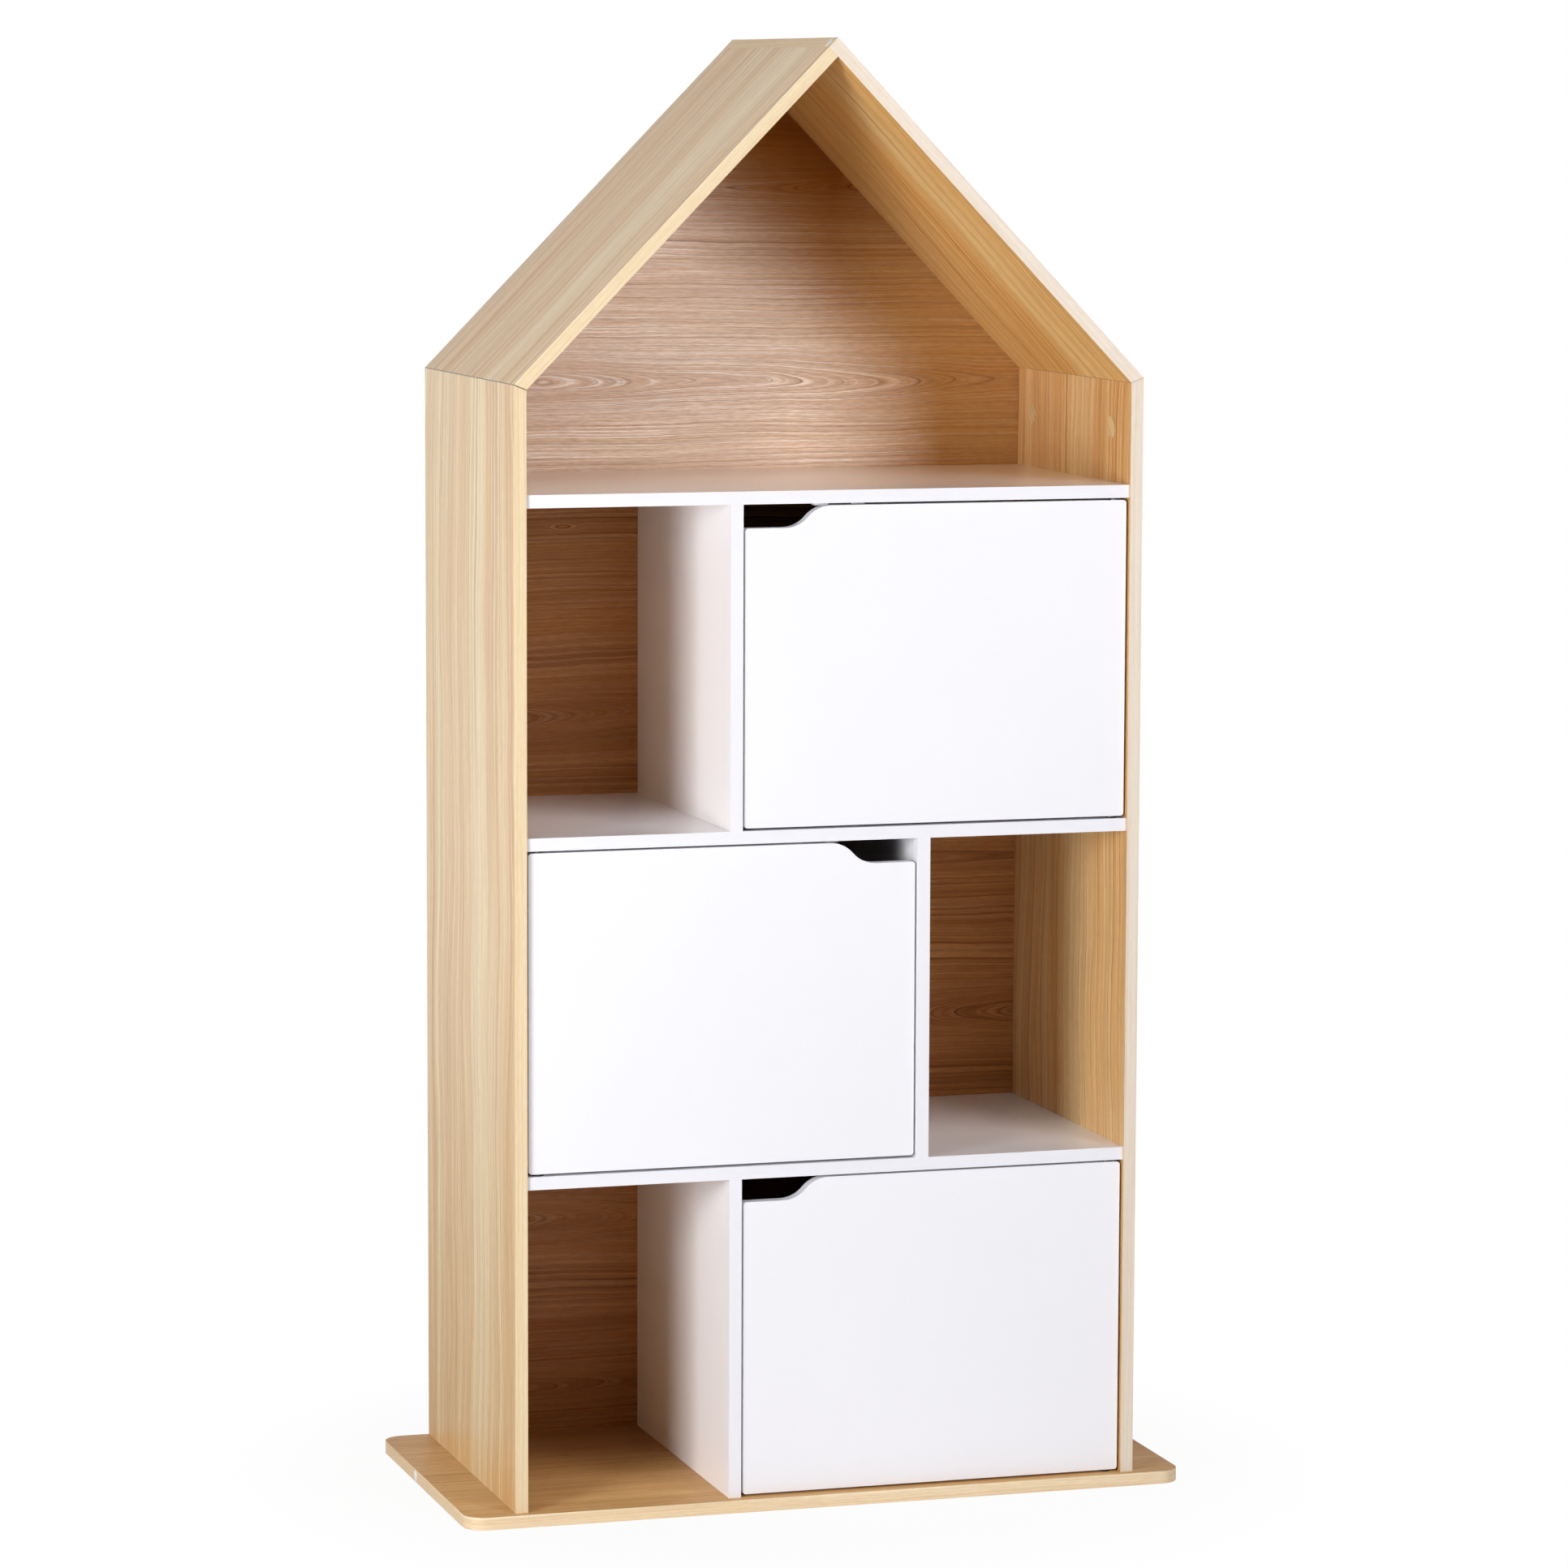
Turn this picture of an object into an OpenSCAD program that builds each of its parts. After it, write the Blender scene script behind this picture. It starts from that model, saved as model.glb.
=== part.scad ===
// House shaped bookcase: a base board, two sides with a pitched roof, three
// shelves, three dividers, three inset pivot doors and a two piece back.
// Millimetres. +Z is up, the front faces -Y, and the origin is at the middle
// of the underside of the base board.

/* [Carcass] */
// Width over the outer faces of the two side panels
carcass_w = 605; // [590:5:640]
// Depth of the side panels from front edge to rear edge
carcass_d = 339; // [330:1:360]
// Thickness of every board
board_t = 12; // [11.8:0.1:12.6]
// Height of the eaves above the base board, at the outer faces of the sides
eaves_h = 1039; // [1030:1:1060]
// Rise of the roof from the eaves to the ridge
roof_rise = 312.4; // [304:0.2:320]
// How far the ridge sits to the right of the centre line
ridge_shift = 3; // [0:0.5:5]

/* [Base board] */
// How far the base board runs past each side panel
base_side_lip = 47.5; // [40:0.5:60]
// How far the base board runs past the front edges of the side panels
base_front_lip = 8; // [5:0.5:15]
// Radius of the base board's corners seen from above
base_corner_r = 20; // [10:1:25]

/* [Shelves and dividers] */
// Height of the eaves above the top shelf's upper face
gable_up = 100; // [90:1:120]
// Height from one shelf to the next, top face to top face
shelf_pitch = 313; // [308:1:318]
// Distance from the centre line to the middle of each divider
divider_off = 91; // [86:1:98]
// How far shelves, dividers and doors sit behind the front edges of the sides
front_recess = 2.5; // [1:0.5:4]
// Distance from the rear edges of the sides to the back panels
back_inset = 8; // [6:0.5:12]

/* [Doors] */
// Gap around each door
door_gap = 2.2; // [2:0.1:2.6]
// How far the doors' faces sit behind the shelves' front edges
door_set = 2; // [1:0.5:3]
// Corner radius of the doors seen from the front
door_corner_r = 3; // [2:0.5:4]
// Distance from the hinge side edge of a door to its pivot line
pivot_off = 10.5; // [10.2:0.1:10.8]
// Flat length of the finger notch, measured from the free edge
notch_flat = 38.5; // [34:0.5:44]
// Length of the S shaped run from the notch floor up to the door's top edge
notch_run = 44; // [38:1:48]
// Depth of the finger notch
notch_depth = 20; // [17:0.5:22]

/* [Hardware] */
// Diameter of the door pivot pins
pin_d = 5; // [4.8:0.1:5.2]
// Radial clearance between a pivot pin and its bush
pin_clear = 0.05; // [0.03:0.01:0.08]
// Distance of the front row of fittings behind the front edges of the sides
fit_front = 52.5; // [48:0.5:60]
// Distance of the rear row of fittings from the rear edges of the sides
fit_rear = 60.4; // [56:0.2:68]
// Diameter of the round cover caps
cap_d = 20.5; // [19:0.5:22]
// Diameter of the round part labels
dot_d = 10; // [9:0.5:11]

/* [Hidden] */

$fn = 48;
eps = 0.05;

// Main planes
base_w = carcass_w + 2 * base_side_lip;
base_d = carcass_d + base_front_lip;
y_front = base_front_lip - base_d / 2;
y_rear = base_d / 2;
x_out = carcass_w / 2;
x_in = x_out - board_t;
z_base = board_t;
z_eaves = z_base + eaves_h;
z_ridge = z_eaves + roof_rise;

// Shelf top faces, worked down from the eaves
z_top = z_eaves - gable_up;
z_mid = z_top - shelf_pitch;
z_low = z_mid - shelf_pitch;

// The three bays that take a door: floor and ceiling of each
bay_top = [z_mid, z_top - board_t];
bay_mid = [z_low, z_mid - board_t];
bay_low = [z_base, z_low - board_t];

// Shelves, dividers and back panels
y_shelf = y_front + front_recess;
y_back = y_rear - back_inset - board_t;
y_back_rear = y_rear - back_inset;
left_div_x0 = -divider_off - board_t / 2;
left_div_x1 = -divider_off + board_t / 2;
right_div_x0 = divider_off - board_t / 2;
right_div_x1 = divider_off + board_t / 2;

// Roof slopes, and the points where the panels' faces meet
run_left = x_out + ridge_shift;
run_right = x_out - ridge_shift;
pitch_left = atan2(roof_rise, run_left);
pitch_right = atan2(roof_rise, run_right);
ridge = [ridge_shift, z_ridge];
eave_left = [-x_out, z_eaves];
eave_right = [x_out, z_eaves];
in_left = [-x_in, z_eaves - board_t * tan(45 - pitch_left / 2)];
in_right = [x_in, z_eaves - board_t * tan(45 - pitch_right / 2)];
slope_left = [cos(pitch_left), sin(pitch_left)];
slope_right = [-cos(pitch_right), sin(pitch_right)];
tilt_left = 90 - pitch_left;
tilt_right = pitch_right - 90;
lap_outer = meet(eave_left, slope_left, in_right, slope_right);
lap_inner = meet(in_left, slope_left, in_right, slope_right);

// Rows of fittings
y_fit_front = y_front + fit_front;
y_fit_rear = y_rear - fit_rear;
fit_rows = [y_fit_front, y_fit_rear];
shelf_dowel_in = 110;
div_dowel_in = 80;
dowel_rows = [y_front + shelf_dowel_in, y_rear - shelf_dowel_in];
div_dowel_rows = [y_front + div_dowel_in, y_rear - div_dowel_in];

// Cam locks: centre distance from the joint, size, and the eaves cams' height
cam_d = 12;
cam_h = 9.5;
cam_reach = 24;
cam_slot = 6.4;
cam_cross = 7;
cam_cross_w = 1.2;
cam_cross_h = 1.4;
cam_eaves_drop = 48.5;
cam_eaves_z = z_eaves - cam_eaves_drop;
bolt_shank_d = 4;
bolt_head_d = 6;
bolt_thread_d = 5;
bolt_thread_l = 9;
bolt_bore_d = 6.5;
bolt_shank_l = 18.6;
bolt_head_h = 2.6;
bend_leg = 20;
bend_d = 4.6;
bend_skip = 4.4;
bend_reach = 3;

// Caps, labels, dowels and screws
cap_t = 0.4;
cap_glue = 0.03;
dot_t = 0.3;
dot_glue = 0.03;
dot_base_back = 196.7;
dot_ridge_back = 12.5;
dot_ridge_down = 6.4;
dot_base_y = y_front + dot_base_back;
dot_base_z = z_base - board_t / 2;
dot_ridge_y = y_front + dot_ridge_back;
dowel_d = 6;
dowel_in = 8;
dowel_out = 12;
screw_d = 3.5;
screw_head_d = 7;
screw_head_h = 1.8;
screw_tip_d = 0.6;
screw_cross = 3.8;
screw_cross_w = 0.8;
chamfer = 0.8;
base_screw_l = 36;
back_screw_l = 25;
base_screw_in = 40;
div_screw_in = 50;
back_screw_in = 100.5;
back_dowel_in = 110.5;
base_screw_rows = [y_front + base_screw_in, (y_front + y_rear) / 2, y_rear - base_screw_in];
div_screw_rows = [y_shelf + div_screw_in, y_back - div_screw_in];
back_screw_xs = [back_screw_in - x_in, 0, x_in - back_screw_in];
shelf_zs = [z_low - board_t / 2, z_mid - board_t / 2, z_top - board_t / 2];
back_dowel_xs = [back_dowel_in - x_in, x_in - back_dowel_in];
roof_dowel_s = [110, 270];

// Doors, each as high as its bay allows
door_w = x_in - left_div_x1 - 2 * door_gap;
door_y0 = y_shelf + door_set;
door_y1 = door_y0 + board_t;
pivot_y = door_y0 + board_t / 2;
pivot_x = x_in - door_gap - pivot_off;
notch_r = (notch_run * notch_run + notch_depth * notch_depth) / (4 * notch_depth);

// Pivot pins and bushes
pin_bore_d = pin_d + 2 * pin_clear;
pin_in_door = 9;
pin_in_bush = 7;
pin_collar_d = 9;
pin_collar_t = 0.6;
bush_d = 8;
bush_l = 9;
bush_flange_d = 10;
bush_flange_t = 1;

// Magnetic catches and strike plates
catch_x = 12;
catch_gap = 0.5;
strike_t = 1;
strike_w = 24;
strike_h = 13;
strike_drop = 2.5;
strike_screw_d = 2.5;
strike_screw_l = 8.5;
small_head_d = 5;
catch_y = door_y1 + strike_t + catch_gap;
catch_w = 26;
catch_d = 14;
catch_h = 14;
catch_ear_l = 48;
catch_ear_t = 3;
catch_ear_d = 11;
magnet_w = 22;
magnet_d = 9;
magnet_h = 10.6;
magnet_z = 11;
pole_t = 1.6;
pole_deep = 0.6;
catch_screw_off = 18.5;
catch_screw_l = 11;
catch_screw_d = 2.5;
catch_sink = 1.6;
catch_zs = [z_top - board_t, z_mid - board_t, z_low - board_t];
catch_xs = [catch_x, -catch_x, catch_x];

// Lower and upper edge of the door in a bay, and the door's height
function door_foot(bay) = bay[0] + door_gap;
function door_head(bay) = bay[1] - door_gap;
function door_h(bay) = door_head(bay) - door_foot(bay);

// Point where the line through p along u crosses the line through q along v
function meet(p, u, q, v) =
    p + u * (((q[0] - p[0]) * v[1] - (q[1] - p[1]) * v[0]) / (u[0] * v[1] - u[1] * v[0]));

// ---------------------------------------------------------------- helpers

module board(x0, x1, y0, y1, z0, z1) {
    translate([x0, y0, z0]) cube([x1 - x0, y1 - y0, z1 - z0]);
}

// Outline drawn in x and z, extruded from y0 to y1
module slab_y(y0, y1) {
    translate([0, y1, 0]) rotate([90, 0, 0]) linear_extrude(y1 - y0) children();
}

module bore_x(x0, x1, y, z, d) {
    translate([x0, y, z]) rotate([0, 90, 0]) cylinder(d = d, h = x1 - x0);
}

module bore_y(x, y0, y1, z, d) {
    translate([x, y0, z]) rotate([-90, 0, 0]) cylinder(d = d, h = y1 - y0);
}

module bore_z(x, y, z0, z1, d) {
    translate([x, y, z0]) cylinder(d = d, h = z1 - z0);
}

// Children's +Z axis laid along the slope of the left or right roof panel
module along_left(p, y) {
    translate([p[0], y, p[1]]) rotate([0, tilt_left, 0]) children();
}

module along_right(p, y) {
    translate([p[0], y, p[1]]) rotate([0, tilt_right, 0]) children();
}

// Cross slot for a screwdriver, sunk from the origin towards +Z
module cross_slot(len, wide, deep) {
    translate([-len / 2, -wide / 2, -eps]) cube([len, wide, deep + eps]);
    translate([-wide / 2, -len / 2, -eps]) cube([wide, len, deep + eps]);
}

// Countersunk screw, point towards +Z, head face at the origin
module screw(len) {
    difference() {
        union() {
            cylinder(d1 = screw_head_d, d2 = screw_d, h = screw_head_h);
            cylinder(d = screw_d, h = len - screw_d);
            translate([0, 0, len - screw_d]) cylinder(d1 = screw_d, d2 = screw_tip_d, h = screw_d);
        }
        cross_slot(screw_cross, screw_cross_w, screw_head_h / 2);
    }
}

// Hole for that screw
module screw_bore(len) {
    cylinder(d1 = screw_head_d, d2 = screw_d, h = screw_head_h);
    translate([0, 0, -1]) cylinder(d = screw_head_d, h = 1);
    cylinder(d = screw_d, h = len + screw_tip_d);
}

module dowel(len) {
    cylinder(d1 = dowel_d - 1, d2 = dowel_d, h = chamfer);
    translate([0, 0, chamfer]) cylinder(d = dowel_d, h = len - 2 * chamfer);
    translate([0, 0, len - chamfer]) cylinder(d1 = dowel_d, d2 = dowel_d - 1, h = chamfer);
}

// Cam lock: face at the origin, body towards +Z, bolt slot towards +X
module cam_lock() {
    difference() {
        cylinder(d = cam_d, h = cam_h);
        translate([-cam_slot / 3, -cam_slot / 2, (board_t - cam_slot) / 2])
            cube([cam_d, cam_slot, cam_slot]);
        cross_slot(cam_cross, cam_cross_w, cam_cross_h);
    }
}

// Straight cam bolt: joint plane at the origin, thread to -Z, head to +Z
module cam_bolt() {
    translate([0, 0, -bolt_thread_l]) cylinder(d = bolt_thread_d, h = bolt_thread_l);
    cylinder(d = bolt_shank_d, h = bolt_shank_l + 1);
    translate([0, 0, bolt_shank_l]) cylinder(d = bolt_head_d, h = bolt_head_h);
}

// Bores for a straight cam joint, in the same frame as the bolt
module bolt_thread_bore() {
    translate([0, 0, -bolt_thread_l]) cylinder(d = bolt_thread_d, h = bolt_thread_l + 1);
}

module bolt_shank_bore() {
    translate([0, 0, -1]) cylinder(d = bolt_bore_d, h = cam_reach + 1);
}

// Four places of a shelf's cam joints, bolt axis along the shelf
module at_shelf_ends(z) {
    for (y = fit_rows) {
        translate([-x_in, y, z]) rotate([0, 90, 0]) children();
        translate([x_in, y, z]) rotate([0, -90, 0]) children();
    }
}

module shelf_dowel_bores(z) {
    for (y = dowel_rows) {
        bore_x(-x_in - dowel_in, -x_in + dowel_out, y, z, dowel_d);
        bore_x(x_in - dowel_out, x_in + dowel_in, y, z, dowel_d);
    }
}

module divider_dowel_bores(x, z) {
    for (y = div_dowel_rows) {
        bore_z(x, y, z - dowel_in, z + dowel_out, dowel_d);
    }
}

module divider_dowel_bores_down(x, z) {
    for (y = div_dowel_rows) {
        bore_z(x, y, z - dowel_out, z + dowel_in, dowel_d);
    }
}

module bush_bore_up(x, z) {
    bore_z(x, pivot_y, z - eps, z + bush_l, bush_d);
}

module bush_bore_down(x, z) {
    bore_z(x, pivot_y, z - bush_l, z + eps, bush_d);
}

module catch_screw_bores(x, z) {
    for (s = [-1, 1]) {
        bore_z(x + s * catch_screw_off, catch_y + catch_ear_d / 2,
            z - eps, z + catch_screw_l - catch_ear_t + 0.5, catch_screw_d);
    }
}

module back_screw_bores() {
    for (z = shelf_zs, x = back_screw_xs) {
        translate([x, y_back_rear, z]) rotate([90, 0, 0]) screw_bore(back_screw_l);
    }
}

module base_screw_bores() {
    for (y = base_screw_rows, x = [-x_out + board_t / 2, x_out - board_t / 2]) {
        translate([x, y, 0]) screw_bore(base_screw_l);
    }
    for (y = div_screw_rows) {
        translate([-divider_off, y, 0]) screw_bore(base_screw_l);
    }
}

module back_dowel_bores() {
    for (x = back_dowel_xs) {
        bore_z(x, y_back + board_t / 2, z_base - dowel_in, z_base + dowel_out, dowel_d);
        bore_z(x, y_back + board_t / 2, z_top - dowel_out, z_top + dowel_out, dowel_d);
    }
}

// Dowels standing square to the roof panels' inner faces, +Z out of the house
module at_roof_dowels() {
    for (s = roof_dowel_s) {
        along_left(in_left + slope_left * s, y_back + board_t / 2)
            rotate([0, -90, 0]) children();
        along_right(in_right + slope_right * s, y_back + board_t / 2)
            rotate([0, 90, 0]) children();
    }
}

module roof_dowel_bores() {
    at_roof_dowels() translate([0, 0, -dowel_out]) cylinder(d = dowel_d, h = dowel_in + dowel_out);
}

// Side panel with a mitred top, standing on the base board
module side_outline(s, inner) {
    polygon([[s * x_out, z_base], [s * x_in, z_base], inner, [s * x_out, z_eaves]]);
}

// Bent bolt at the eaves: one leg down to the cam, one up the roof's slope
module at_left_eaves() {
    for (y = fit_rows) {
        translate([-x_in - board_t / 2, y, (z_eaves + in_left[1]) / 2]) children();
    }
}

module at_right_eaves() {
    for (y = fit_rows) {
        translate([x_in + board_t / 2, y, (z_eaves + in_right[1]) / 2]) children();
    }
}

eaves_leg_left = (z_eaves + in_left[1]) / 2 - cam_eaves_z;
eaves_leg_right = (z_eaves + in_right[1]) / 2 - cam_eaves_z;

module eaves_bolt(leg, tilt) {
    mirror([0, 0, 1]) cylinder(d = bolt_shank_d, h = leg - bend_skip);
    translate([0, 0, bend_reach - leg]) cylinder(d = bolt_head_d, h = bolt_head_h);
    sphere(d = bend_d);
    rotate([0, tilt, 0]) cylinder(d = bolt_thread_d, h = bend_leg);
}

module eaves_down_bore(leg) {
    translate([0, 0, -leg]) cylinder(d = bolt_bore_d, h = leg + 8);
}

module eaves_up_bore(tilt) {
    rotate([0, tilt, 0]) translate([0, 0, -bend_reach])
        cylinder(d = bolt_thread_d, h = bend_leg + bend_reach);
}

module eaves_cam_bores(s) {
    for (y = fit_rows) {
        if (s < 0) bore_x(-x_in - cam_h, -x_in + 1, y, cam_eaves_z, cam_d);
        if (s > 0) bore_x(x_in - 1, x_in + cam_h, y, cam_eaves_z, cam_d);
    }
}

// Ridge joint: bolt axis down the middle of the left roof panel
ridge_joint = (lap_outer + lap_inner) / 2;
ridge_cam = ridge_joint - slope_left * cam_reach
    + [sin(pitch_left), -cos(pitch_left)] * (board_t / 2);

module at_ridge_bolts() {
    for (y = fit_rows) {
        along_left(ridge_joint, y) mirror([0, 0, 1]) children();
    }
}

module at_ridge_cams() {
    for (y = fit_rows) {
        along_left(ridge_cam, y) rotate([0, -90, 0]) children();
    }
}

// Cuts a square corner at the origin, body towards +x and +y, down to a radius
module corner_cut(r) {
    difference() {
        translate([-1, -1]) square(r + 1);
        translate([r, r]) circle(r);
    }
}

// Door seen from the front, hinge edge at x = 0 and free edge at +door_w
module door_outline(h) {
    r = door_corner_r;
    difference() {
        square([door_w, h]);
        corner_cut(r);
        translate([0, h]) mirror([0, 1]) corner_cut(r);
        translate([door_w, 0]) mirror([1, 0]) corner_cut(r);
        translate([door_w, h - notch_depth]) rotate(180) corner_cut(r);
        translate([door_w - notch_flat, h - notch_depth]) square([notch_flat + 1, notch_depth + 1]);
        intersection() {
            translate([door_w - notch_flat - notch_run / 2, h - notch_depth])
                square([notch_run / 2 + eps, notch_depth + 1]);
            translate([door_w - notch_flat, h - notch_depth + notch_r]) circle(notch_r, $fn = 96);
        }
        difference() {
            translate([door_w - notch_flat - notch_run, h - notch_depth / 2])
                square([notch_run / 2 + eps, notch_depth / 2 + 1]);
            translate([door_w - notch_flat - notch_run, h - notch_r]) circle(notch_r, $fn = 96);
        }
    }
}

// Door leaf with its pin holes, hinge side at the right (s = 1) or left (s = -1)
module door_leaf(s, bay) {
    foot = door_foot(bay);
    head = door_head(bay);
    difference() {
        translate([s * (x_in - door_gap), 0, foot]) {
            slab_y(door_y0, door_y1) scale_x(-s) door_outline(door_h(bay));
        }
        bore_z(s * pivot_x, pivot_y, foot - eps, foot + pin_in_door, pin_d);
        bore_z(s * pivot_x, pivot_y, head - pin_in_door, head + eps, pin_d);
        translate([s * catch_x, door_y1, head - strike_drop - strike_h / 2])
            rotate([90, 0, 0]) cylinder(d = strike_screw_d, h = strike_screw_l);
    }
}

module scale_x(s) {
    if (s < 0) mirror([1, 0]) children();
    if (s > 0) children();
}

module door_pins(s, bay) {
    translate([s * pivot_x, pivot_y, door_foot(bay)]) pin(-1);
    translate([s * pivot_x, pivot_y, door_head(bay)]) pin(1);
}

// One pivot pin: door edge at the origin, free end towards +Z for up = 1
module pin(up) {
    rotate([up > 0 ? 0 : 180, 0, 0]) {
        translate([0, 0, -pin_in_door]) cylinder(d = pin_d, h = pin_in_door + 0.1);
        cylinder(d = pin_collar_d, h = pin_collar_t);
        cylinder(d = pin_d, h = door_gap + pin_in_bush - chamfer);
        translate([0, 0, door_gap + pin_in_bush - chamfer])
            cylinder(d1 = pin_d, d2 = pin_d - chamfer, h = chamfer);
    }
}

// One bush: face of the shelf at the origin, body towards +Z, flange to -Z
module bush() {
    difference() {
        union() {
            cylinder(d = bush_d, h = bush_l);
            translate([0, 0, -bush_flange_t]) cylinder(d = bush_flange_d, h = bush_flange_t);
        }
        translate([0, 0, -bush_flange_t - eps]) cylinder(d = pin_bore_d, h = bush_l + bush_flange_t - 1);
    }
}

module bush_over(x, z) {
    translate([x, pivot_y, z]) bush();
}

module bush_under(x, z) {
    translate([x, pivot_y, z]) rotate([180, 0, 0]) bush();
}

module strike_plate(s, bay) {
    x = s * catch_x;
    z = door_head(bay) - strike_drop - strike_h;
    difference() {
        board(x - strike_w / 2, x + strike_w / 2, door_y1, door_y1 + strike_t, z, z + strike_h);
        translate([x, door_y1 + strike_t, z + strike_h / 2])
            rotate([90, 0, 0]) cylinder(d1 = small_head_d, d2 = strike_screw_d, h = strike_t);
    }
}

module strike_screw(s, bay) {
    z = door_head(bay) - strike_drop - strike_h / 2;
    translate([s * catch_x, door_y1 + strike_t, z]) rotate([90, 0, 0]) {
        cylinder(d1 = small_head_d, d2 = strike_screw_d, h = strike_t);
        cylinder(d = strike_screw_d, h = strike_screw_l);
    }
}

// Catch under a shelf: middle of its front face against the shelf at the origin
module catch_housing() {
    difference() {
        union() {
            translate([-catch_ear_l / 2, 0, -catch_ear_t]) cube([catch_ear_l, catch_ear_d, catch_ear_t]);
            translate([-catch_w / 2, 0, -catch_h]) cube([catch_w, catch_d, catch_h]);
        }
        translate([-magnet_w / 2, -eps, -magnet_z]) cube([magnet_w, magnet_d + eps, magnet_h]);
        for (s = [-1, 1]) translate([s * catch_screw_off, catch_ear_d / 2, -catch_ear_t]) {
            cylinder(d1 = small_head_d, d2 = catch_screw_d, h = catch_sink);
            translate([0, 0, -eps]) cylinder(d = catch_screw_d, h = catch_ear_t + 2 * eps);
        }
    }
}

module catch_magnet() {
    difference() {
        translate([-magnet_w / 2, 0, -magnet_z]) cube([magnet_w, magnet_d, magnet_h]);
        translate([-magnet_w / 2 + pole_t, -eps, -magnet_z + pole_t])
            cube([magnet_w - 2 * pole_t, pole_deep + eps, magnet_h - 2 * pole_t]);
    }
}

module catch_screw_pair() {
    for (s = [-1, 1]) translate([s * catch_screw_off, catch_ear_d / 2, -catch_ear_t]) {
        cylinder(d1 = small_head_d, d2 = catch_screw_d, h = catch_sink);
        cylinder(d = catch_screw_d, h = catch_screw_l);
    }
}

module at_catches() {
    for (i = [0:2]) translate([catch_xs[i], catch_y, catch_zs[i]]) children();
}

// Shelf board with its end joints; everything else is cut by the callers
module shelf_board(z) {
    zc = z - board_t / 2;
    difference() {
        board(-x_in, x_in, y_shelf, y_back, z - board_t, z);
        at_shelf_ends(zc) bolt_shank_bore();
        for (s = [-1, 1], y = fit_rows) {
            bore_z(s * (x_in - cam_reach), y, z - board_t - eps, z - board_t + cam_h, cam_d);
        }
        shelf_dowel_bores(zc);
        back_screw_bores();
    }
}

module side_panel(s, inner) {
    difference() {
        slab_y(y_front, y_rear) side_outline(s, inner);
        for (z = shelf_zs) {
            at_shelf_ends(z) bolt_thread_bore();
            shelf_dowel_bores(z);
        }
        eaves_cam_bores(s);
        base_screw_bores();
    }
}

// ------------------------------------------------------------ sub-parts

module base_board() {
    r = base_corner_r;
    w = base_w;
    d = base_d;
    color([0.84, 0.72, 0.55]) difference() {
        linear_extrude(board_t) union() {
            translate([-w / 2, -d / 2 + r]) square([w, d - 2 * r]);
            translate([-w / 2 + r, -d / 2]) square([w - 2 * r, d]);
            for (x = [-w / 2 + r, w / 2 - r], y = [-d / 2 + r, d / 2 - r]) {
                translate([x, y]) circle(r, $fn = 72);
            }
        }
        base_screw_bores();
        back_dowel_bores();
        bush_bore_down(pivot_x, z_base);
    }
}

module left_side_panel() {
    color([0.85, 0.76, 0.62]) difference() {
        side_panel(-1, in_left);
        at_left_eaves() eaves_down_bore(eaves_leg_left);
    }
}

module right_side_panel() {
    color([0.85, 0.76, 0.62]) difference() {
        side_panel(1, in_right);
        at_right_eaves() eaves_down_bore(eaves_leg_right);
    }
}

module left_roof_panel() {
    color([0.82, 0.72, 0.58]) difference() {
        slab_y(y_front, y_rear) polygon([eave_left, in_left, lap_inner, lap_outer]);
        at_left_eaves() eaves_up_bore(tilt_left);
        at_ridge_bolts() bolt_shank_bore();
        at_ridge_cams() translate([0, 0, -1]) cylinder(d = cam_d, h = cam_h + 1);
        roof_dowel_bores();
    }
}

module right_roof_panel() {
    color([0.82, 0.72, 0.58]) difference() {
        slab_y(y_front, y_rear) polygon([eave_right, in_right, lap_inner, lap_outer, ridge]);
        at_right_eaves() eaves_up_bore(tilt_right);
        at_ridge_bolts() bolt_thread_bore();
        roof_dowel_bores();
    }
}

module top_shelf() {
    color([0.95, 0.95, 0.95]) difference() {
        shelf_board(z_top);
        divider_dowel_bores_down(-divider_off, z_top - board_t);
        bush_bore_up(pivot_x, z_top - board_t);
        catch_screw_bores(catch_x, z_top - board_t);
    }
}

module middle_shelf() {
    color([0.95, 0.95, 0.95]) difference() {
        shelf_board(z_mid);
        divider_dowel_bores(-divider_off, z_mid);
        divider_dowel_bores_down(divider_off, z_mid - board_t);
        bush_bore_down(pivot_x, z_mid);
        bush_bore_up(-pivot_x, z_mid - board_t);
        catch_screw_bores(-catch_x, z_mid - board_t);
    }
}

module lower_shelf() {
    color([0.95, 0.95, 0.95]) difference() {
        shelf_board(z_low);
        divider_dowel_bores(divider_off, z_low);
        divider_dowel_bores_down(-divider_off, z_low - board_t);
        bush_bore_down(-pivot_x, z_low);
        bush_bore_up(pivot_x, z_low - board_t);
        catch_screw_bores(catch_x, z_low - board_t);
    }
}

module top_divider() {
    color([0.95, 0.95, 0.95]) difference() {
        board(left_div_x0, left_div_x1, y_shelf, y_back, z_mid, z_top - board_t);
        divider_dowel_bores(-divider_off, z_mid);
        divider_dowel_bores_down(-divider_off, z_top - board_t);
    }
}

module middle_divider() {
    color([0.95, 0.95, 0.95]) difference() {
        board(right_div_x0, right_div_x1, y_shelf, y_back, z_low, z_mid - board_t);
        divider_dowel_bores(divider_off, z_low);
        divider_dowel_bores_down(divider_off, z_mid - board_t);
    }
}

module lower_divider() {
    color([0.95, 0.95, 0.95]) difference() {
        board(left_div_x0, left_div_x1, y_shelf, y_back, z_base, z_low - board_t);
        divider_dowel_bores_down(-divider_off, z_low - board_t);
        base_screw_bores();
    }
}

module lower_back_panel() {
    color([0.80, 0.68, 0.52]) difference() {
        board(-x_in, x_in, y_back, y_back_rear, z_base, z_top);
        back_screw_bores();
        back_dowel_bores();
    }
}

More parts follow.
